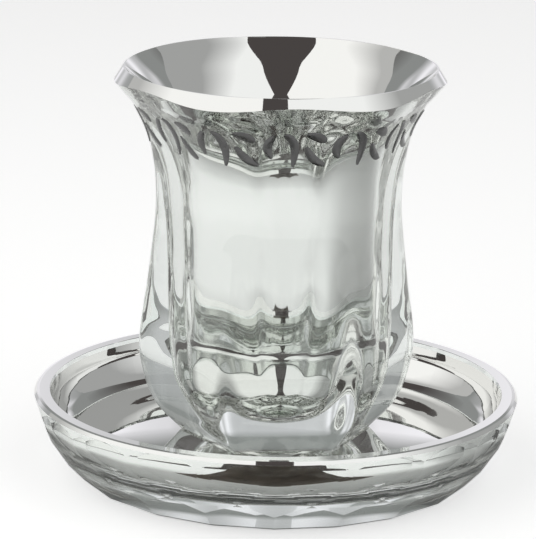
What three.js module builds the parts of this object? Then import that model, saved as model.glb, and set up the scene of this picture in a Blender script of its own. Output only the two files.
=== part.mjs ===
// A kiddush cup standing on its saucer: two pieces of heavy crystal, each silvered inside.
// Millimetres, +Z up. The saucer's foot stands on Z = 0 and both pieces share the Z axis.
// Turns are measured about Z from the front (-Y) towards +X.
import * as THREE from "three";

// ---- Saucer: driving sizes ----
const SAUCER_FACETS = 20;
const SAUCER_HEIGHT = 20.8;
const SAUCER_RADIUS = 59.3; // the shoulder under the rim is turned round
const PANEL_CORNER_RADIUS = 60; // where the panels would meet at the shoulder if it weren't
const SHOULDER_HEIGHT = 19.9; // the flat rim's narrow outer bevel ends here
const RIM_BEVEL = 0.6;
const RIM_DROP = 0.12;
const RIM_FLAT_RADIUS = 58;
const RIM_INNER_RADIUS = 55.5;
const PEAK_RADIUS = 58; // upper corners of the lozenges
const PEAK_HEIGHT = 14.2;
const SIDE_HEIGHT = 8.6; // where neighbouring lozenges meet
const TIP_HEIGHT = 5; // lower corners of the lozenges
const FOOT_CHAMFER_HEIGHT = 0.9;
const FOOT_OUTER_RADIUS = 46.6;
const FOOT_INNER_RADIUS = 39;
const UNDERSIDE_RECESS = 1.2;
const DISH_FLOOR_HEIGHT = 10.6;
const DISH_SEAT_RADIUS = 24; // the raised flat that the cup stands on
const DISH_STEPS = 16;

// Inside line of the dish: a steep wall, a shallow channel, and a rise to the cup's seat.
const DISH_LINE = new THREE.SplineCurve([
  new THREE.Vector2(RIM_INNER_RADIUS, SAUCER_HEIGHT),
  new THREE.Vector2(55.5, 19),
  new THREE.Vector2(55.4, 17),
  new THREE.Vector2(55.0, 15.2),
  new THREE.Vector2(54.0, 13),
  new THREE.Vector2(52.3, 10.9),
  new THREE.Vector2(49.0, 9.3),
  new THREE.Vector2(44.0, 8.9),
  new THREE.Vector2(36.0, 9.8),
  new THREE.Vector2(DISH_SEAT_RADIUS, DISH_FLOOR_HEIGHT),
]);

// ---- Cup: driving sizes ----
const CUP_PANELS = 6;
const CUP_TURN = THREE.MathUtils.degToRad(5.5); // the cup stands a little turned on its saucer
const CUP_GAP = 0.3;
const CUP_BASE_HEIGHT = DISH_FLOOR_HEIGHT + CUP_GAP;
const CUP_HEIGHT = 101.3;
const LIP_RADIUS = 38;
const LIP_FLAT = 0.5;
const BAND_HEIGHT = 97.9; // lower edge of the silvered bevel round the lip, at the ridges
const BAND_RADIUS = 40.1;
const BAND_RISE = 1.2; // how much higher that edge runs at the middle of a panel
const LIP_FLATTENING = 0.009; // the bevel follows the six panels by this share of its radius
const BOWL_FLOOR_HEIGHT = 18.8;
const POINTS_PER_PANEL = 10;
const OUTER_STEPS = 18;
const BOWL_STEPS = 14;

// How sharply neighbouring panels meet at a height: crisp at the base, almost round at the lip.
const RIDGE_SHARPNESS = [
  { height: CUP_BASE_HEIGHT, sharpness: 40 },
  { height: 30, sharpness: 20 },
  { height: 50, sharpness: 12 },
  { height: BAND_HEIGHT, sharpness: 7 },
];

// Ridge line of the outside: radius of the ridges between the panels, and height.
const RIDGE_LINE = new THREE.SplineCurve([
  new THREE.Vector2(23.4, CUP_BASE_HEIGHT),
  new THREE.Vector2(29.8, 17.8),
  new THREE.Vector2(33.0, 26.5),
  new THREE.Vector2(33.7, 35),
  new THREE.Vector2(31.7, 50),
  new THREE.Vector2(29.9, 68),
  new THREE.Vector2(31.2, 82),
  new THREE.Vector2(34.6, 91),
  new THREE.Vector2(38.1, 95.6),
]);

// Inside line of the bowl, from the lip down to the middle of its floor.
const BOWL_LINE = new THREE.SplineCurve([
  new THREE.Vector2(LIP_RADIUS - LIP_FLAT, CUP_HEIGHT),
  new THREE.Vector2(32.0, 95.5),
  new THREE.Vector2(26.0, 87),
  new THREE.Vector2(22.3, 76),
  new THREE.Vector2(21.4, 66),
  new THREE.Vector2(20.8, 58),
  new THREE.Vector2(20.2, 50),
  new THREE.Vector2(19.4, 41),
  new THREE.Vector2(18.2, 33),
  new THREE.Vector2(15.4, 25.2),
  new THREE.Vector2(9.5, 20.2),
  new THREE.Vector2(0, BOWL_FLOOR_HEIGHT),
]);

// A point at a turn from the front, at a radius and a height.
function pointAt(turn, radius, height) {
  return new THREE.Vector3(radius * Math.sin(turn), -radius * Math.cos(turn), height);
}

// A level ring of points whose radius may depend on the turn.
function levelRing(count, radiusAt, height, startTurn = 0) {
  const ring = [];
  for (let i = 0; i < count; i++) {
    const turn = startTurn + (i * 2 * Math.PI) / count;
    ring.push(pointAt(turn, radiusAt(turn - startTurn), height));
  }
  return ring;
}

// A ring of a polygon that has two points to each side: a corner, then the middle of the side.
// With cornersBetween the corners sit half a side further round.
function facetRing(cornerRadius, height, cornersBetween = false) {
  const middleRadius = cornerRadius * Math.cos(Math.PI / SAUCER_FACETS);
  const ring = [];
  for (let i = 0; i < 2 * SAUCER_FACETS; i++) {
    const isCorner = (i % 2 === 1) === cornersBetween;
    const turn = (i * Math.PI) / SAUCER_FACETS;
    ring.push(pointAt(turn, isCorner ? cornerRadius : middleRadius, height));
  }
  return ring;
}

// One closed skin through the rings, from the middle of the underside round to the middle of the
// inside. Each four-sided face is split in two along the diagonal from its first corner. Above a
// ring with creases, the even or the odd faces are split that way and the others along the other
// diagonal, so that the split follows the facets' edges.
function skinOf(rings, startPoint, endPoint) {
  const count = rings[0].points.length;
  const positions = [startPoint, endPoint, ...rings.flatMap((ring) => ring.points)];
  const faces = [];
  const indexOf = (ring, i) => 2 + ring * count + (i % count);
  for (let i = 0; i < count; i++) {
    faces.push([0, indexOf(0, i + 1), indexOf(0, i)]);
    faces.push([1, indexOf(rings.length - 1, i), indexOf(rings.length - 1, i + 1)]);
  }
  for (let r = 0; r + 1 < rings.length; r++) {
    for (let i = 0; i < count; i++) {
      const a = indexOf(r, i);
      const b = indexOf(r, i + 1);
      const c = indexOf(r + 1, i + 1);
      const d = indexOf(r + 1, i);
      const parity = i % 2 === 0 ? "even" : "odd";
      const creases = rings[r].creases ?? parity;
      if (creases === parity) {
        faces.push([a, b, c], [a, c, d]);
      } else {
        faces.push([a, b, d], [b, c, d]);
      }
    }
  }
  const geometry = new THREE.BufferGeometry();
  geometry.setAttribute(
    "position",
    new THREE.Float32BufferAttribute(positions.flatMap((p) => [p.x, p.y, p.z]), 3),
  );
  geometry.setIndex(faces.flat());
  geometry.computeVertexNormals();
  return geometry;
}

// ---- Saucer ----
// Twenty upright panels run down from the rim and end in a point. Lozenges hang between the points,
// and panels that point upwards stand on the foot. Each facet is flat, which fixes the radii below.
function makeSaucer() {
  const middle = Math.cos(Math.PI / SAUCER_FACETS);
  const panelRun = (PANEL_CORNER_RADIUS - PEAK_RADIUS) / (SHOULDER_HEIGHT - PEAK_HEIGHT);
  const upperSlope = panelRun * middle;
  const sideRadius = PEAK_RADIUS * middle - upperSlope * (PEAK_HEIGHT - SIDE_HEIGHT);
  const lozengeSlope = (PEAK_RADIUS - sideRadius * middle) / (PEAK_HEIGHT - SIDE_HEIGHT);
  const tipRadius = PEAK_RADIUS - lozengeSlope * (PEAK_HEIGHT - TIP_HEIGHT);
  const lowerSlope = (sideRadius / middle - tipRadius) / (SIDE_HEIGHT - TIP_HEIGHT);
  const footCornerRadius = tipRadius - lowerSlope * (TIP_HEIGHT - FOOT_CHAMFER_HEIGHT);
  const roundedHeight = PEAK_HEIGHT + (SAUCER_RADIUS - PEAK_RADIUS) / panelRun;

  const count = 2 * SAUCER_FACETS;
  const round = (radius, height) => ({ points: levelRing(count, () => radius, height) });
  const rings = [
    round(FOOT_INNER_RADIUS - UNDERSIDE_RECESS, UNDERSIDE_RECESS),
    round(FOOT_INNER_RADIUS, 0),
    { points: facetRing(FOOT_OUTER_RADIUS, 0) },
    { points: facetRing(footCornerRadius, FOOT_CHAMFER_HEIGHT) },
    { points: facetRing(tipRadius, TIP_HEIGHT), creases: "even" },
    { points: facetRing(sideRadius, SIDE_HEIGHT, true), creases: "odd" },
    { points: facetRing(PEAK_RADIUS, PEAK_HEIGHT) },
    { points: facetRing(SAUCER_RADIUS, roundedHeight) },
    round(SAUCER_RADIUS, SHOULDER_HEIGHT),
    round(SAUCER_RADIUS - RIM_BEVEL, SAUCER_HEIGHT - RIM_DROP),
    round(RIM_FLAT_RADIUS, SAUCER_HEIGHT),
  ];
  for (let i = 0; i <= DISH_STEPS; i++) {
    const point = DISH_LINE.getPointAt(i / DISH_STEPS);
    rings.push(round(point.x, point.y));
  }
  return skinOf(
    rings,
    new THREE.Vector3(0, 0, UNDERSIDE_RECESS),
    new THREE.Vector3(0, 0, DISH_FLOOR_HEIGHT),
  );
}

// ---- Cup ----
// Sharpness of the ridges at a height, between the two stated ones that enclose it.
function ridgeSharpness(height) {
  const above = RIDGE_SHARPNESS.findIndex((level, i) => i > 0 && level.height >= height);
  const upper = RIDGE_SHARPNESS[above < 0 ? RIDGE_SHARPNESS.length - 1 : above];
  const lower = RIDGE_SHARPNESS[RIDGE_SHARPNESS.indexOf(upper) - 1];
  const share = (height - lower.height) / (upper.height - lower.height);
  return THREE.MathUtils.lerp(lower.sharpness, upper.sharpness, share);
}

// Radius of a soft polygon against turn, as a share of its radius at the ridges.
function softPanelShare(turn, sharpness) {
  const distance = (angle) => {
    let sum = 0;
    for (let k = 0; k < CUP_PANELS; k++) {
      const facing = Math.cos(angle - (k * 2 * Math.PI) / CUP_PANELS);
      sum += Math.max(facing, 0) ** sharpness;
    }
    return sum ** (-1 / sharpness);
  };
  return distance(turn) / distance(Math.PI / CUP_PANELS);
}

// A radius of the bevel round the lip, which follows the six panels a little.
function flattened(radius, turn) {
  return radius * (1 - LIP_FLATTENING * (1 + Math.cos(CUP_PANELS * turn)));
}

// Lower edge of the silvered bevel: it lies on the bevel's slope and rises over each panel.
function bandEdge(count) {
  const slope = (BAND_RADIUS - LIP_RADIUS) / (CUP_HEIGHT - BAND_HEIGHT);
  const edge = [];
  for (let i = 0; i < count; i++) {
    const turn = (i * 2 * Math.PI) / count;
    const height = BAND_HEIGHT + (BAND_RISE * (1 + Math.cos(CUP_PANELS * turn))) / 2;
    const radius = flattened(LIP_RADIUS + slope * (CUP_HEIGHT - height), turn);
    edge.push(pointAt(CUP_TURN + turn, radius, height));
  }
  return edge;
}

function makeCup() {
  const count = CUP_PANELS * POINTS_PER_PANEL;
  const rings = [];
  for (let i = 0; i <= OUTER_STEPS; i++) {
    const point = RIDGE_LINE.getPointAt(i / OUTER_STEPS);
    const sharpness = ridgeSharpness(point.y);
    const radiusAt = (turn) => point.x * softPanelShare(turn, sharpness);
    rings.push({ points: levelRing(count, radiusAt, point.y, CUP_TURN) });
  }
  rings.push({ points: bandEdge(count) });
  const lipAt = (turn) => flattened(LIP_RADIUS, turn);
  rings.push({ points: levelRing(count, lipAt, CUP_HEIGHT, CUP_TURN) });
  for (let i = 0; i < BOWL_STEPS; i++) {
    const point = BOWL_LINE.getPointAt(i / BOWL_STEPS);
    rings.push({ points: levelRing(count, () => point.x, point.y, CUP_TURN) });
  }
  return skinOf(
    rings,
    new THREE.Vector3(0, 0, CUP_BASE_HEIGHT),
    new THREE.Vector3(0, 0, BOWL_FLOOR_HEIGHT),
  );
}

// ---- The part ----
function piece(name, geometry, material) {
  const mesh = new THREE.Mesh(geometry, material);
  mesh.name = name;
  return mesh;
}

function silveredCrystal(color, metalness) {
  return new THREE.MeshStandardMaterial({ color, metalness, roughness: 0.05 });
}

const kiddushCup = new THREE.Group();
kiddushCup.add(piece("saucer", makeSaucer(), silveredCrystal(0xc9cfcb, 0.6)));
kiddushCup.add(piece("cup", makeCup(), silveredCrystal(0xdfe6e2, 0.4)));

export default kiddushCup;
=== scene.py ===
# A crystal kiddush cup standing on its saucer, both silvered inside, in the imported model's frame.
# Metres, +Z up. Turns are measured about Z from the front (-Y) towards +X.
import math

import bmesh
import bpy
from mathutils import Matrix, Vector


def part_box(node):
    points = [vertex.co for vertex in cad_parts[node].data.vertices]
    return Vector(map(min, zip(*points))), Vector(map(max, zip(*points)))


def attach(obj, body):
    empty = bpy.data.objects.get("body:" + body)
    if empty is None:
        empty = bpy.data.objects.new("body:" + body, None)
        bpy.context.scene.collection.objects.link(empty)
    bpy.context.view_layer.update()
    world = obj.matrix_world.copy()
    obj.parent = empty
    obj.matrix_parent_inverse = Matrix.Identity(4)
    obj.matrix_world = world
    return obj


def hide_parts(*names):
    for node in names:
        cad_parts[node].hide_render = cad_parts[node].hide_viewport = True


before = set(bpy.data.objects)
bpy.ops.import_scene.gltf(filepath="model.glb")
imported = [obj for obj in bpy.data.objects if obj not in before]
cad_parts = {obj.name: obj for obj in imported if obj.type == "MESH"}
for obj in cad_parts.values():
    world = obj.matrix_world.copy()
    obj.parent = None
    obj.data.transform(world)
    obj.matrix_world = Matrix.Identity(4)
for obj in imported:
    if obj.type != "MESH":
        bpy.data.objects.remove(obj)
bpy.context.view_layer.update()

MM = 0.001

# ---- Saucer ----
# The dish under the cup, one piece of heavy pressed crystal. Its outside is ground flat on a wheel,
# one facet at a time: long panels that end in a point, lozenges between the points, and small
# panels above the foot. The inside and the rim are silvered under a clear lacquer.
saucer_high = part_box("saucer")[1]
SAUCER_FACETS = 20
SAUCER_RADIUS = saucer_high[0]
PANEL_CORNER_RADIUS = 60 * MM
SAUCER_TOP = saucer_high[2]
SHOULDER_HEIGHT = 19.9 * MM
RIM_BEVEL = 0.6 * MM
RIM_DROP = 0.12 * MM
RIM_FLAT_RADIUS = 58 * MM
RIM_INNER_RADIUS = 55.5 * MM
PEAK_RADIUS = 58 * MM
PEAK_HEIGHT = 14.2 * MM
SIDE_HEIGHT = 8.6 * MM
TIP_HEIGHT = 5 * MM
FOOT_CHAMFER_HEIGHT = 0.9 * MM
FOOT_OUTER_RADIUS = 46.6 * MM
FOOT_INNER_RADIUS = 39 * MM
UNDERSIDE_RECESS = 1.2 * MM
DISH_FLOOR_HEIGHT = 10.6 * MM
DISH_LINE = (
    (RIM_INNER_RADIUS / MM, SAUCER_TOP / MM), (55.5, 19), (55.4, 17), (55, 15.2), (54, 13), (52.3, 10.9),
    (49, 9.3), (44, 8.9), (36, 9.8), (24, DISH_FLOOR_HEIGHT / MM),
)
DISH_STEPS = 40
FACET_EASE = 0.09 * MM
RIM_POINTS = 240
SIDE_CUTS = 9
SHORTEST_SIDE = 5 * MM
SMALLEST_FACET_TURN = math.radians(3)
TOUCHING = 1e-6
LEVEL_FACE = 0.99
TILTED_UP = 1e-3
SAUCER_CREASE = math.radians(8)


def direction(turn):
    """A level unit vector at a turn from the front."""
    return Vector((math.sin(turn), -math.cos(turn), 0))


def turn_of(point):
    return math.atan2(point.x, -point.y)


def set_ring(place):
    """Set each selected point of the piece in hand at the radius and height of place(turn)."""
    piece = bpy.context.object.data
    shell = bmesh.from_edit_mesh(piece)
    for point in shell.verts:
        if point.select:
            turn = turn_of(point.co)
            radius, height = place(turn)
            point.co = direction(turn) * radius + Vector((0, 0, height))
    bmesh.update_edit_mesh(piece)


def grow_ring(place):
    """Extrude the open edge of the piece in hand to a new ring."""
    bpy.ops.mesh.extrude_region_move()
    set_ring(place)


def close_ring(height):
    """Close the open edge of the piece in hand at one point on the axis."""
    bpy.ops.mesh.extrude_region_move()
    bpy.ops.transform.resize(value=(0, 0, 0), center_override=(0, 0, height))
    bpy.ops.mesh.remove_doubles(threshold=TOUCHING)


def along(line, share):
    """Radius and height at a share of the way along a smooth line through the points."""
    last = len(line) - 1
    i = min(int(share * last), last - 1)
    f = share * last - i
    start, end = Vector(line[i]), Vector(line[i + 1])
    before = Vector(line[i - 1]) if i else start
    after = Vector(line[i + 2]) if i + 1 < last else end
    leaving, arriving = (end - before) / 2, (after - start) / 2
    point = (
        start + leaving * f
        + (3 * (end - start) - 2 * leaving - arriving) * f ** 2
        + (2 * (start - end) + leaving + arriving) * f ** 3
    )
    return point.x * MM, point.y * MM


def grind(facing, distance, height, lean):
    """Grind one flat facet: it faces a turn, at a distance from the axis that grows with height by lean."""
    bpy.ops.mesh.select_all(action="SELECT")
    bpy.ops.mesh.bisect(
        plane_co=direction(facing) * distance + Vector((0, 0, height)),
        plane_no=(direction(facing) - Vector((0, 0, lean))).normalized(),
        use_fill=True,
        clear_outer=True,
        threshold=1e-7,
    )


def select_edges(wanted):
    """Select only the edges of the piece in hand for which wanted(edge) holds."""
    bpy.ops.mesh.select_all(action="DESELECT")
    bpy.ops.mesh.select_mode(type="EDGE")
    piece = bpy.context.object.data
    shell = bmesh.from_edit_mesh(piece)
    for edge in shell.edges:
        edge.select_set(wanted(edge))
    bmesh.update_edit_mesh(piece)


def remove_caps(wanted):
    """Take away the faces of the piece in hand for which wanted(face) holds, and keep their edges."""
    bpy.ops.mesh.select_all(action="DESELECT")
    bpy.ops.mesh.select_mode(type="FACE")
    piece = bpy.context.object.data
    shell = bmesh.from_edit_mesh(piece)
    for face in shell.faces:
        face.select_set(wanted(face))
    bmesh.update_edit_mesh(piece)
    bpy.ops.mesh.delete(type="ONLY_FACE")


# The facets are flat, which fixes how they lean.
middle = math.cos(math.pi / SAUCER_FACETS)
side_turn = math.pi / SAUCER_FACETS
panel_lean = (PANEL_CORNER_RADIUS - PEAK_RADIUS) * middle / (SHOULDER_HEIGHT - PEAK_HEIGHT)
side_radius = PEAK_RADIUS * middle - panel_lean * (PEAK_HEIGHT - SIDE_HEIGHT)
lozenge_lean = (PEAK_RADIUS - side_radius * middle) / (PEAK_HEIGHT - SIDE_HEIGHT)
tip_radius = PEAK_RADIUS - lozenge_lean * (PEAK_HEIGHT - TIP_HEIGHT)
lower_lean = (side_radius - tip_radius * middle) / (SIDE_HEIGHT - TIP_HEIGHT)
foot_distance = tip_radius * middle - lower_lean * (TIP_HEIGHT - FOOT_CHAMFER_HEIGHT)
chamfer_lean = (foot_distance - FOOT_OUTER_RADIUS * middle) / FOOT_CHAMFER_HEIGHT


def shoulder_radius(turn):
    """Radius of the outer edge at a turn: the panels just cut into the turned edge."""
    side = PANEL_CORNER_RADIUS * middle / math.cos(turn % (2 * side_turn) - side_turn)
    return min(side, SAUCER_RADIUS)


bpy.ops.object.select_all(action="DESELECT")
bpy.ops.mesh.primitive_cylinder_add(
    vertices=RIM_POINTS,
    radius=SAUCER_RADIUS,
    depth=SHOULDER_HEIGHT,
    location=(0, 0, SHOULDER_HEIGHT / 2),
)
saucer = bpy.context.object
saucer.name = "crystal_saucer"
bpy.ops.object.transform_apply(location=True, rotation=True, scale=True)
bpy.ops.object.mode_set(mode="EDIT")
for k in range(SAUCER_FACETS):
    corner_turn = 2 * side_turn * k
    grind(corner_turn + side_turn, PEAK_RADIUS * middle, PEAK_HEIGHT, panel_lean)
    grind(corner_turn, PEAK_RADIUS, PEAK_HEIGHT, lozenge_lean)
    grind(corner_turn + side_turn, side_radius, SIDE_HEIGHT, lower_lean)
    grind(corner_turn + side_turn, foot_distance, FOOT_CHAMFER_HEIGHT, chamfer_lean)

# The edges between facets are eased a little by the polishing felt.
select_edges(lambda edge: max(v.co.z for v in edge.verts) > TOUCHING
             and min(v.co.z for v in edge.verts) < SHOULDER_HEIGHT - TOUCHING
             and edge.calc_face_angle(0) > SMALLEST_FACET_TURN)
bpy.ops.mesh.bevel(offset=FACET_EASE, segments=1, affect="EDGES")

# The rim and the dish grow inwards from the top edge, and the foot ring from the bottom edge.
remove_caps(lambda face: abs(face.normal.z) > LEVEL_FACE)
select_edges(lambda edge: edge.is_boundary and edge.calc_length() > SHORTEST_SIDE)
bpy.ops.mesh.subdivide(number_cuts=SIDE_CUTS)
select_edges(lambda edge: edge.is_boundary and edge.verts[0].co.z > SHOULDER_HEIGHT / 2)
grow_ring(lambda turn: (shoulder_radius(turn) - RIM_BEVEL, SAUCER_TOP - RIM_DROP))
grow_ring(lambda turn: (RIM_FLAT_RADIUS, SAUCER_TOP))
grow_ring(lambda turn: (RIM_INNER_RADIUS, SAUCER_TOP))
for i in range(1, DISH_STEPS + 1):
    dish_radius, level = along(DISH_LINE, i / DISH_STEPS)
    grow_ring(lambda turn: (dish_radius, level))
close_ring(DISH_FLOOR_HEIGHT)
select_edges(lambda edge: edge.is_boundary)
grow_ring(lambda turn: (FOOT_INNER_RADIUS, 0))
grow_ring(lambda turn: (FOOT_INNER_RADIUS - UNDERSIDE_RECESS, UNDERSIDE_RECESS))
close_ring(UNDERSIDE_RECESS)
bpy.ops.mesh.select_all(action="SELECT")
bpy.ops.mesh.normals_make_consistent(inside=False)
bpy.ops.object.mode_set(mode="OBJECT")


# Finishes of the pressed crystal. Polishing leaves faint waves and cloudy patches: they are one
# node group, used by the clear glass and by the silvering with values of their own.
def socket(group, name, way):
    group.interface.new_socket(name=name, in_out=way, socket_type="NodeSocketFloat")


CLOUD_SCALE = 240
CLOUD_DETAIL = 4
CLEAREST_CLOUD, DENSEST_CLOUD = 0.35, 0.75
polish = bpy.data.node_groups.new("polished surface", "ShaderNodeTree")
socket(polish, "Wave Scale", "INPUT")
socket(polish, "Smoothest", "INPUT")
socket(polish, "Cloudiest", "INPUT")
socket(polish, "Roughness", "OUTPUT")
socket(polish, "Wave Height", "OUTPUT")
entry = polish.nodes.new("NodeGroupInput")
leaving = polish.nodes.new("NodeGroupOutput")
place = polish.nodes.new("ShaderNodeTexCoord")
waves = polish.nodes.new("ShaderNodeTexNoise")
waves.inputs["Detail"].default_value = 1
clouds = polish.nodes.new("ShaderNodeTexNoise")
clouds.inputs["Scale"].default_value = CLOUD_SCALE
clouds.inputs["Detail"].default_value = CLOUD_DETAIL
spread = polish.nodes.new("ShaderNodeMapRange")
spread.inputs["From Min"].default_value = CLEAREST_CLOUD
spread.inputs["From Max"].default_value = DENSEST_CLOUD
polish.links.new(place.outputs["Object"], waves.inputs["Vector"])
polish.links.new(place.outputs["Object"], clouds.inputs["Vector"])
polish.links.new(entry.outputs["Wave Scale"], waves.inputs["Scale"])
polish.links.new(clouds.outputs["Fac"], spread.inputs["Value"])
polish.links.new(entry.outputs["Smoothest"], spread.inputs["To Min"])
polish.links.new(entry.outputs["Cloudiest"], spread.inputs["To Max"])
polish.links.new(spread.outputs["Result"], leaving.inputs["Roughness"])
polish.links.new(waves.outputs["Fac"], leaving.inputs["Wave Height"])


def polished(name, color, wave_scale, smoothest, cloudiest, wave_depth):
    """A material with the polished surface, and its shader for the values that are its own."""
    finish = bpy.data.materials.new(name)
    finish.use_nodes = True
    nodes, links = finish.node_tree.nodes, finish.node_tree.links
    shader = nodes["Principled BSDF"]
    shader.inputs["Base Color"].default_value = (*color, 1)
    surface = nodes.new("ShaderNodeGroup")
    surface.node_tree = polish
    surface.inputs["Wave Scale"].default_value = wave_scale
    surface.inputs["Smoothest"].default_value = smoothest
    surface.inputs["Cloudiest"].default_value = cloudiest
    bump = nodes.new("ShaderNodeBump")
    bump.inputs["Distance"].default_value = wave_depth
    links.new(surface.outputs["Roughness"], shader.inputs["Roughness"])
    links.new(surface.outputs["Wave Height"], bump.inputs["Height"])
    links.new(bump.outputs["Normal"], shader.inputs["Normal"])
    return finish, shader


CRYSTAL_TINT = (0.95, 0.985, 0.965)
SILVER_COLOR = (0.9, 0.9, 0.89)
CRYSTAL_IOR = 1.52
crystal, crystal_shader = polished(
    "clear crystal", CRYSTAL_TINT, wave_scale=60, smoothest=0, cloudiest=0.004, wave_depth=0.01 * MM,
)
crystal_shader.inputs["Transmission Weight"].default_value = 1
crystal_shader.inputs["IOR"].default_value = CRYSTAL_IOR
silvering, silvering_shader = polished(
    "silvered glass", SILVER_COLOR, wave_scale=50, smoothest=0.01, cloudiest=0.04, wave_depth=0.004 * MM,
)
silvering_shader.inputs["Metallic"].default_value = 1


def coat(piece, silvered):
    """Clear crystal all over the piece, and silvering on the faces for which silvered(face) holds."""
    piece.data.materials.append(crystal)
    piece.data.materials.append(silvering)
    for face in piece.data.polygons:
        face.material_index = int(silvered(face))


coat(saucer, lambda face: face.normal.z > TILTED_UP)
bpy.ops.object.shade_smooth_by_angle(angle=SAUCER_CREASE)
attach(saucer, "root")
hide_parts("saucer")

# ---- Cup ----
# One piece of thick pressed crystal with six soft upright panels, drawn in at the waist and flared
# to the mouth. The bowl is pressed in from above, and the bowl and the bevel round the lip are
# silvered. It stands loose on the saucer's floor.
cup_low, cup_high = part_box("cup")
CUP_PANELS = 6
CUP_TURN = math.radians(5.5)
CUP_BASE = cup_low[2]
CUP_TOP = cup_high[2]
LIP_RADIUS = 38 * MM
LIP_FLAT = 0.5 * MM
BAND_HEIGHT = 97.9 * MM
BAND_RADIUS = 40.1 * MM
BAND_RISE = 1.2 * MM
LIP_FLATTENING = 0.009
BOWL_FLOOR = 18.8 * MM
POINTS_PER_PANEL = 36
OUTER_STEPS = 90
BOWL_STEPS = 70
CUP_CREASE = math.radians(30)
EDGE_SLACK = 1e-5
RIDGE_SHARPNESS = ((CUP_BASE, 40), (30 * MM, 20), (50 * MM, 12), (BAND_HEIGHT, 7))
RIDGE_LINE = (
    (23.4, CUP_BASE / MM), (29.8, 17.8), (33.0, 26.5), (33.7, 35), (31.7, 50),
    (29.9, 68), (31.2, 82), (34.6, 91), (38.1, 95.6),
)
BOWL_LINE = (
    ((LIP_RADIUS - LIP_FLAT) / MM, CUP_TOP / MM), (32, 95.5), (26, 87), (22.3, 76), (21.4, 66), (20.8, 58),
    (20.2, 50), (19.4, 41), (18.2, 33), (15.4, 25.2), (9.5, 20.2), (0, BOWL_FLOOR / MM),
)


def ridge_sharpness(height):
    """How sharply the panels meet at a height: crisp at the base, almost round at the lip."""
    lower, upper = RIDGE_SHARPNESS[0], RIDGE_SHARPNESS[1]
    for lower, upper in zip(RIDGE_SHARPNESS, RIDGE_SHARPNESS[1:]):
        if height <= upper[0]:
            break
    share = min((height - lower[0]) / (upper[0] - lower[0]), 1)
    return lower[1] + (upper[1] - lower[1]) * share


def panel_share(turn, sharpness):
    """Radius of the soft six-sided section at a turn, as a share of its radius at the ridges."""
    def reach(angle):
        facing = [max(math.cos(angle - k * 2 * math.pi / CUP_PANELS), 0) for k in range(CUP_PANELS)]
        return sum(f ** sharpness for f in facing) ** (-1 / sharpness)
    return reach(turn - CUP_TURN) / reach(math.pi / CUP_PANELS)


def flattened(radius, turn):
    """The bevel follows the six panels a little."""
    return radius * (1 - LIP_FLATTENING * (1 + math.cos(CUP_PANELS * (turn - CUP_TURN))))


def band_edge(turn):
    """Lower edge of the silvered bevel: it lies on the bevel's slope and rises over each panel."""
    slope = (BAND_RADIUS - LIP_RADIUS) / (CUP_TOP - BAND_HEIGHT)
    height = BAND_HEIGHT + BAND_RISE * (1 + math.cos(CUP_PANELS * (turn - CUP_TURN))) / 2
    return flattened(LIP_RADIUS + slope * (CUP_TOP - height), turn), height


bpy.ops.object.select_all(action="DESELECT")
bpy.ops.mesh.primitive_circle_add(
    vertices=CUP_PANELS * POINTS_PER_PANEL,
    radius=RIDGE_LINE[0][0] * MM,
    location=(0, 0, CUP_BASE),
    rotation=(0, 0, CUP_TURN),
)
cup = bpy.context.object
cup.name = "crystal_cup"
bpy.ops.object.transform_apply(location=True, rotation=True, scale=True)
bpy.ops.object.mode_set(mode="EDIT")
bpy.ops.mesh.select_all(action="SELECT")
outer_rings = []
for i in range(OUTER_STEPS + 1):
    ridge_radius, level = along(RIDGE_LINE, i / OUTER_STEPS)
    outer_rings.append((ridge_radius, level))
    sharpness = ridge_sharpness(level)
    if i:
        bpy.ops.mesh.extrude_region_move()
    set_ring(lambda turn: (ridge_radius * panel_share(turn, sharpness), level))
grow_ring(band_edge)
grow_ring(lambda turn: (flattened(LIP_RADIUS, turn), CUP_TOP))
for i in range(BOWL_STEPS):
    bowl_radius, level = along(BOWL_LINE, i / BOWL_STEPS)
    grow_ring(lambda turn: (bowl_radius, level))
close_ring(BOWL_FLOOR)
select_edges(lambda edge: edge.is_boundary)
close_ring(CUP_BASE)
bpy.ops.mesh.select_all(action="SELECT")
bpy.ops.mesh.remove_doubles(threshold=TOUCHING)
bpy.ops.mesh.normals_make_consistent(inside=False)
bpy.ops.object.mode_set(mode="OBJECT")


def on_cup_silver(face):
    """True on the bevel, the lip and the bowl."""
    inwards = face.normal.dot(direction(turn_of(face.center))) < 0
    above_band = min(cup.data.vertices[v].co.z for v in face.vertices) > BAND_HEIGHT - EDGE_SLACK
    deep = face.center.z < CUP_BASE + EDGE_SLACK
    return (inwards and not deep) or above_band


coat(cup, on_cup_silver)
bpy.ops.object.shade_smooth_by_angle(angle=CUP_CREASE)
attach(cup, "root")
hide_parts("cup")

# ---- Strokes across the front of the cup ----
# A row of shallow strokes of dark silver under the lip, cast thin and fired onto the glass. They
# cover the front half, and repeat one group of leaves and crescents, which spells nothing.
STROKE_GROUP = (
    ((0.8, 8.8), (4.6, 7.6), (3.2, 0.4), 2.2), ((6.0, 8.9), (9.6, 8.2), (10.6, 6.8), 2.3),
    ((6.2, 5.6), (7.6, 2.0), (11.4, 0.8), 2.1), ((15.4, 8.6), (12.2, 5.4), (14.6, 2.6), 2.2),
)
GROUP_LENGTH = 16.6 * MM
GROUP_COUNT = 6
STROKES_LOW = 83 * MM
STROKES_RADIUS = 32.6 * MM
STROKE_CUTS = 14
STROKE_LIFT = 0.05 * MM
STROKE_CROWN = 0.22 * MM
STROKE_TIP = 0.3
STROKE_SWELL = 0.6
STROKE_CREASE = math.radians(40)
DARK_SILVER_COLOR = (0.13, 0.13, 0.13)


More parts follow.
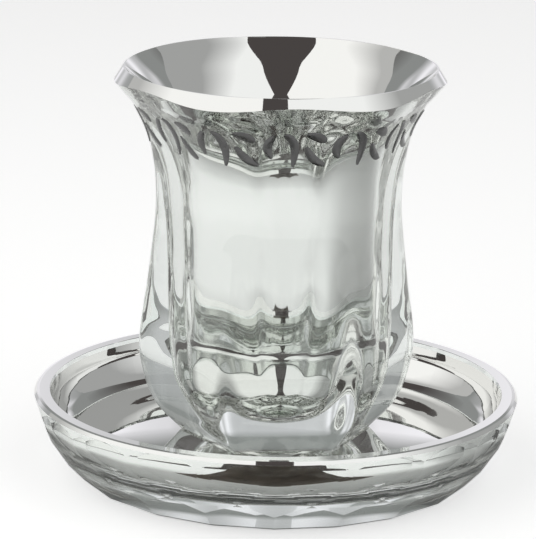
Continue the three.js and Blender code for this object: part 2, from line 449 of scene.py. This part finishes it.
def wall_radius(turn, height):
    """Radius of the cup's outside at a turn and height."""
    lower, upper = outer_rings[0], outer_rings[1]
    for lower, upper in zip(outer_rings, outer_rings[1:]):
        if height <= upper[1]:
            break
    share = (height - lower[1]) / (upper[1] - lower[1])
    ridge = lower[0] + (upper[0] - lower[0]) * share
    return ridge * panel_share(turn, ridge_sharpness(height))


def lay_stroke(start, bend, end, width, shift):
    """Add one stroke to the piece in hand: a strip that swells and tapers along a bent line."""
    bpy.ops.mesh.select_all(action="DESELECT")
    bpy.ops.mesh.primitive_grid_add(x_subdivisions=STROKE_CUTS, y_subdivisions=4, size=1)
    start, bend, end = (Vector(point) * MM for point in (start, bend, end))
    shell = bmesh.from_edit_mesh(bpy.context.object.data)
    for point in shell.verts:
        if not point.select:
            continue
        share, side = point.co.x + 0.5, point.co.y * 2
        centre = start * (1 - share) ** 2 + bend * 2 * share * (1 - share) + end * share ** 2
        run = ((bend - start) * (1 - share) + (end - bend) * share).normalized()
        swell = math.sin(math.pi * share) ** STROKE_SWELL
        half = width * MM / 2 * (STROKE_TIP + (1 - STROKE_TIP) * swell)
        spot = centre + Vector((-run.y, run.x)) * half * side
        turn, level = (spot.x + shift) / STROKES_RADIUS, STROKES_LOW + spot.y
        lift = STROKE_LIFT + STROKE_CROWN * (1 - side ** 4)
        point.co = direction(turn) * (wall_radius(turn, level) + lift) + Vector((0, 0, level))
    bmesh.update_edit_mesh(bpy.context.object.data)


bpy.ops.object.select_all(action="DESELECT")
bpy.ops.mesh.primitive_grid_add(x_subdivisions=1, y_subdivisions=1, size=1)
strokes = bpy.context.object
strokes.name = "strokes_under_the_lip"
bpy.ops.object.mode_set(mode="EDIT")
bpy.ops.mesh.select_all(action="SELECT")
bpy.ops.mesh.delete(type="VERT")
for k in range(GROUP_COUNT):
    for start, bend, end, width in STROKE_GROUP:
        lay_stroke(start, bend, end, width, (k - GROUP_COUNT / 2) * GROUP_LENGTH)
bpy.ops.mesh.select_all(action="SELECT")
bpy.ops.mesh.solidify(thickness=STROKE_LIFT)
bpy.ops.mesh.select_all(action="SELECT")
bpy.ops.mesh.normals_make_consistent(inside=False)
bpy.ops.object.mode_set(mode="OBJECT")
dark_silver, dark_silver_shader = polished(
    "dark silver", DARK_SILVER_COLOR, wave_scale=900, smoothest=0.15, cloudiest=0.5, wave_depth=0.05 * MM,
)
dark_silver_shader.inputs["Metallic"].default_value = 1
strokes.data.materials.append(dark_silver)
bpy.ops.object.shade_smooth_by_angle(angle=STROKE_CREASE)
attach(strokes, "root")

# ---- Floor, light and camera ----
# A pale table in a studio: two tall soft boxes stand in front to the left and right with a dark gap
# between them, the wall behind is white, and the room in front of the table is dark. The table glows
# evenly to the camera, and to everything else with painted light that is lower in a painted shadow
# close round the saucer and darker towards the right as painted shade.
FLOOR_FRONT = -0.38
FLOOR_HALF = 1.0
# Painted light: the table's glow as the crystal and bounced light see it, before the painted shade and
# painted shadow.
PAINTED_TABLE_LIGHT = 0.45
TABLE_DIMMEST = 0.02
DIMS_FROM, DIMS_TO = 0.85, 1.0
SHADE_FROM, SHADE_TO = 0.068, 0.092
TABLE_COLOR = (0.86, 0.86, 0.86, 1)
TABLE_ROUGHNESS = 0.6
BACKDROP_GLOW = 0.6
bpy.ops.object.select_all(action="DESELECT")
bpy.ops.mesh.primitive_grid_add(x_subdivisions=2, y_subdivisions=2, size=1)
floor = bpy.context.object
floor.name = "table_top"
row_places = {-1: FLOOR_FRONT, 0: 0, 1: FLOOR_HALF}
for corner in floor.data.vertices:
    corner.co.x *= 2 * FLOOR_HALF
    corner.co.y = row_places[round(corner.co.y * 2)]
table = bpy.data.materials.new("pale table")
table.use_nodes = True
table_shader = table.node_tree.nodes["Principled BSDF"]
table_shader.inputs["Base Color"].default_value = TABLE_COLOR
table_shader.inputs["Roughness"].default_value = TABLE_ROUGHNESS
table_shader.inputs["Emission Color"].default_value = (1, 1, 1, 1)
ray = table.node_tree.nodes.new("ShaderNodeLightPath")
glow = table.node_tree.nodes.new("ShaderNodeMapRange")
glow.inputs["To Max"].default_value = BACKDROP_GLOW
place = table.node_tree.nodes.new("ShaderNodeTexCoord")
heading = table.node_tree.nodes.new("ShaderNodeVectorMath")
heading.operation = "NORMALIZE"
axes = table.node_tree.nodes.new("ShaderNodeSeparateXYZ")
# Painted shade: the glow that the crystal sees is darker towards the right.
painted_right_shade = table.node_tree.nodes.new("ShaderNodeMapRange")
painted_right_shade.inputs["From Min"].default_value = DIMS_FROM
painted_right_shade.inputs["From Max"].default_value = DIMS_TO
painted_right_shade.inputs["To Min"].default_value = PAINTED_TABLE_LIGHT
painted_right_shade.inputs["To Max"].default_value = TABLE_DIMMEST
reach = table.node_tree.nodes.new("ShaderNodeVectorMath")
reach.operation = "LENGTH"
# Painted shadow: the glow that the crystal sees drops close round the saucer.
shade = table.node_tree.nodes.new("ShaderNodeMapRange")
shade.inputs["From Min"].default_value = SHADE_FROM
shade.inputs["From Max"].default_value = SHADE_TO
shaded = table.node_tree.nodes.new("ShaderNodeMath")
shaded.operation = "MULTIPLY"
table.node_tree.links.new(place.outputs["Object"], heading.inputs["Vector"])
table.node_tree.links.new(heading.outputs["Vector"], axes.inputs["Vector"])
table.node_tree.links.new(axes.outputs["X"], painted_right_shade.inputs["Value"])
table.node_tree.links.new(place.outputs["Object"], reach.inputs["Vector"])
table.node_tree.links.new(reach.outputs["Value"], shade.inputs["Value"])
table.node_tree.links.new(painted_right_shade.outputs["Result"], shaded.inputs[0])
table.node_tree.links.new(shade.outputs["Result"], shaded.inputs[1])
table.node_tree.links.new(shaded.outputs["Value"], glow.inputs["To Min"])
table.node_tree.links.new(ray.outputs["Is Camera Ray"], glow.inputs["Value"])
table.node_tree.links.new(glow.outputs["Result"], table_shader.inputs["Emission Strength"])
floor.data.materials.append(table)

# A low dark card stands on the table close in front of the saucer, and only the crystal sees it. It is a
# painted reflection of shade: a mottled dark sheet that stands for shade on the table in front of the
# saucer.
CARD_HALF = 0.038
CARD_TOP_HALF = 0.012
CARD_PLACE = -0.0625
CARD_TOP = 0.0187
PAINTED_SHADE_ROUGHNESS = 0.8
PAINTED_SHADE_MOTTLE_SCALE = 160
# Painted shade: the card's dark and light browns, mixed in mottles, are shade seen only in reflection.
PAINTED_SHADE_DARK = (0.11, 0.088, 0.073, 1)
PAINTED_SHADE_LIGHT = (0.36, 0.3, 0.255, 1)
bpy.ops.object.select_all(action="DESELECT")
bpy.ops.mesh.primitive_plane_add(size=1)
card = bpy.context.object
card.name = "painted_shade_card"
for corner in card.data.vertices:
    half, height = (CARD_TOP_HALF, CARD_TOP) if corner.co.y > 0 else (CARD_HALF, 0)
    corner.co = (math.copysign(half, corner.co.x), CARD_PLACE, height)
painted_shade_sheet = bpy.data.materials.new("painted shade sheet")
painted_shade_sheet.use_nodes = True
painted_shade_shader = painted_shade_sheet.node_tree.nodes["Principled BSDF"]
painted_shade_shader.inputs["Roughness"].default_value = PAINTED_SHADE_ROUGHNESS
shade_mottle = painted_shade_sheet.node_tree.nodes.new("ShaderNodeTexNoise")
shade_mottle.inputs["Scale"].default_value = PAINTED_SHADE_MOTTLE_SCALE
shade_mottle_mix = painted_shade_sheet.node_tree.nodes.new("ShaderNodeMix")
shade_mottle_mix.data_type = "RGBA"
shade_mottle_mix.inputs["A"].default_value = PAINTED_SHADE_DARK
shade_mottle_mix.inputs["B"].default_value = PAINTED_SHADE_LIGHT
spot = painted_shade_sheet.node_tree.nodes.new("ShaderNodeTexCoord")
painted_shade_sheet.node_tree.links.new(spot.outputs["Object"], shade_mottle.inputs["Vector"])
painted_shade_sheet.node_tree.links.new(shade_mottle.outputs["Fac"], shade_mottle_mix.inputs["Factor"])
painted_shade_sheet.node_tree.links.new(shade_mottle_mix.outputs["Result"], painted_shade_shader.inputs["Base Color"])
card.data.materials.append(painted_shade_sheet)
# Hidden from the camera, from diffuse light and from shadows, the card is only a painted reflection of
# shade.
card.visible_camera = False
card.visible_diffuse = False
card.visible_shadow = False

# Each soft box dims towards the back, and the right one is a little duller.
BOX_FACING = math.radians(79)
BOX_DISTANCE = 0.45
BOX_BOTTOM = 0.02
BOX_TOP = 1.7
GAP_LOW_TURN = math.radians(28)
GAP_HIGH_TURN = math.radians(8.5)
LEFT_BOX_END = math.radians(130)
RIGHT_BOX_END = math.radians(134)


def soft_box(name, side, outer_turn, color, dimmest, dims_from, dims_to):
    """A long soft box beside the table. Seen from the cup, it stands between the gap and a turn."""
    def foot(turn):
        return direction(side * turn) * (BOX_DISTANCE / math.cos(turn - BOX_FACING))
    bpy.ops.object.select_all(action="DESELECT")
    bpy.ops.mesh.primitive_plane_add(size=1)
    box = bpy.context.object
    box.name = name
    for corner in box.data.vertices:
        low = corner.co.y < 0
        inner_turn = GAP_LOW_TURN if low else GAP_HIGH_TURN
        spot = foot(inner_turn if corner.co.x < 0 else outer_turn)
        corner.co = spot + Vector((0, 0, BOX_BOTTOM if low else BOX_TOP))
    cloth = bpy.data.materials.new(name + " cloth")
    cloth.use_nodes = True
    shader = cloth.node_tree.nodes["Principled BSDF"]
    shader.inputs["Base Color"].default_value = (0, 0, 0, 1)
    shader.inputs["Specular IOR Level"].default_value = 0
    shader.inputs["Emission Color"].default_value = (*color, 1)
    tree = cloth.node_tree
    spot = tree.nodes.new("ShaderNodeTexCoord")
    axes = tree.nodes.new("ShaderNodeSeparateXYZ")
    dimming = tree.nodes.new("ShaderNodeMapRange")
    dimming.inputs["From Min"].default_value = dims_from
    dimming.inputs["From Max"].default_value = dims_to
    dimming.inputs["To Min"].default_value = 1
    dimming.inputs["To Max"].default_value = dimmest
    tree.links.new(spot.outputs["Object"], axes.inputs["Vector"])
    tree.links.new(axes.outputs["Y"], dimming.inputs["Value"])
    tree.links.new(dimming.outputs["Result"], shader.inputs["Emission Strength"])
    box.data.materials.append(cloth)
    box.visible_camera = False


soft_box(
    "left_soft_box", side=-1, outer_turn=LEFT_BOX_END, color=(1, 1, 0.98),
    dimmest=0.5, dims_from=0.05, dims_to=0.3,
)
soft_box(
    "right_soft_box", side=1, outer_turn=RIGHT_BOX_END, color=(0.95, 0.96, 0.95),
    dimmest=0.4, dims_from=-0.2, dims_to=0.1,
)

# The wall behind is lit in soft bands low down and in the middle, and fades above into the room.
ROOM_COLOR = (0.07, 0.062, 0.06)
BACK_WALL_COLOR = (0.95, 0.94, 0.98)
SIDE_WALL_COLOR = (0.27, 0.28, 0.275)
BACK_WALL_TOP = 0.5
BACK_WALL_FADE = 0.25
WALL_STARTS, WALL_FULL = -0.3, 0.1
BRIGHT_FROM, BRIGHT_TO = 0.6, 0.93
LOW_FROM, LOW_TO = 0.3, 0.36
BAND_SCALE = 1.4
BAND_WANDER = 1.5
BAND_DIMMEST = 0.45
world = bpy.data.worlds.new("studio")
bpy.context.scene.world = world
world.use_nodes = True
nodes, links = world.node_tree.nodes, world.node_tree.links
background = nodes["Background"]
looking = nodes.new("ShaderNodeTexCoord")
parts = nodes.new("ShaderNodeSeparateXYZ")
backwards = nodes.new("ShaderNodeMapRange")
backwards.inputs["From Min"].default_value = WALL_STARTS
backwards.inputs["From Max"].default_value = WALL_FULL
upwards = nodes.new("ShaderNodeMapRange")
upwards.inputs["From Min"].default_value = BACK_WALL_TOP
upwards.inputs["From Max"].default_value = BACK_WALL_TOP + BACK_WALL_FADE
upwards.inputs["To Min"].default_value = 1
upwards.inputs["To Max"].default_value = 0
on_wall = nodes.new("ShaderNodeMath")
on_wall.operation = "MULTIPLY"
room = nodes.new("ShaderNodeMix")
room.data_type = "RGBA"
room.inputs["A"].default_value = (*ROOM_COLOR, 1)
brightest = nodes.new("ShaderNodeMapRange")
brightest.inputs["From Min"].default_value = BRIGHT_FROM
brightest.inputs["From Max"].default_value = BRIGHT_TO
wall = nodes.new("ShaderNodeMix")
wall.data_type = "RGBA"
wall.inputs["A"].default_value = (*SIDE_WALL_COLOR, 1)
wall.inputs["B"].default_value = (*BACK_WALL_COLOR, 1)
seen = nodes.new("ShaderNodeLightPath")
backdrop = nodes.new("ShaderNodeMix")
backdrop.data_type = "RGBA"
backdrop.inputs["B"].default_value = (1, 1, 1, 1)
links.new(looking.outputs["Generated"], parts.inputs["Vector"])
links.new(parts.outputs["Y"], backwards.inputs["Value"])
links.new(parts.outputs["Z"], upwards.inputs["Value"])
links.new(backwards.outputs["Result"], on_wall.inputs[0])
links.new(upwards.outputs["Result"], on_wall.inputs[1])
low = nodes.new("ShaderNodeMapRange")
low.inputs["From Min"].default_value = LOW_FROM
low.inputs["From Max"].default_value = LOW_TO
low.inputs["To Min"].default_value = 1
low.inputs["To Max"].default_value = 0
low_and_bright = nodes.new("ShaderNodeMath")
low_and_bright.operation = "MULTIPLY"
links.new(parts.outputs["Y"], brightest.inputs["Value"])
links.new(parts.outputs["Z"], low.inputs["Value"])
links.new(brightest.outputs["Result"], low_and_bright.inputs[0])
links.new(low.outputs["Result"], low_and_bright.inputs[1])
bands = nodes.new("ShaderNodeTexWave")
bands.inputs["Scale"].default_value = BAND_SCALE
bands.inputs["Distortion"].default_value = BAND_WANDER
banded = nodes.new("ShaderNodeMapRange")
banded.inputs["To Min"].default_value = BAND_DIMMEST
banded_wall = nodes.new("ShaderNodeMath")
banded_wall.operation = "MULTIPLY"
links.new(looking.outputs["Generated"], bands.inputs["Vector"])
links.new(bands.outputs["Fac"], banded.inputs["Value"])
links.new(low_and_bright.outputs["Value"], banded_wall.inputs[0])
links.new(banded.outputs["Result"], banded_wall.inputs[1])
links.new(banded_wall.outputs["Value"], wall.inputs["Factor"])
links.new(wall.outputs["Result"], room.inputs["B"])
links.new(on_wall.outputs["Value"], room.inputs["Factor"])
links.new(room.outputs["Result"], backdrop.inputs["A"])
links.new(seen.outputs["Is Camera Ray"], backdrop.inputs["Factor"])
links.new(backdrop.outputs["Result"], background.inputs["Color"])

# The camera looks a little down on the cup, from the front, with a long lens.
SENSOR_WIDTH = 36
AIM = (-0.0024, 0, 0.05077)
CAMERA_DISTANCE = 0.85
CAMERA_RISE = math.radians(14.85)
CAMERA_ROLL = math.radians(0.93)
LENS = 232.84
aim = Vector(AIM)
away = Vector((0, -math.cos(CAMERA_RISE), math.sin(CAMERA_RISE)))
lens = bpy.data.cameras.new("camera")
lens.lens = LENS
lens.sensor_width = SENSOR_WIDTH
camera = bpy.data.objects.new("camera", lens)
bpy.context.scene.collection.objects.link(camera)
camera.matrix_world = (
    Matrix.Translation(aim + away * CAMERA_DISTANCE)
    @ away.to_track_quat("Z", "Y").to_matrix().to_4x4()
    @ Matrix.Rotation(CAMERA_ROLL, 4, "Z")
)
bpy.context.scene.camera = camera
bpy.context.scene.view_settings.view_transform = "Standard"

# Light passes through the clear walls and between the silvered faces many times.
LIGHT_PATH_TURNS = 24
light_paths = bpy.context.scene.cycles
light_paths.max_bounces = LIGHT_PATH_TURNS
light_paths.transmission_bounces = LIGHT_PATH_TURNS
light_paths.glossy_bounces = LIGHT_PATH_TURNS
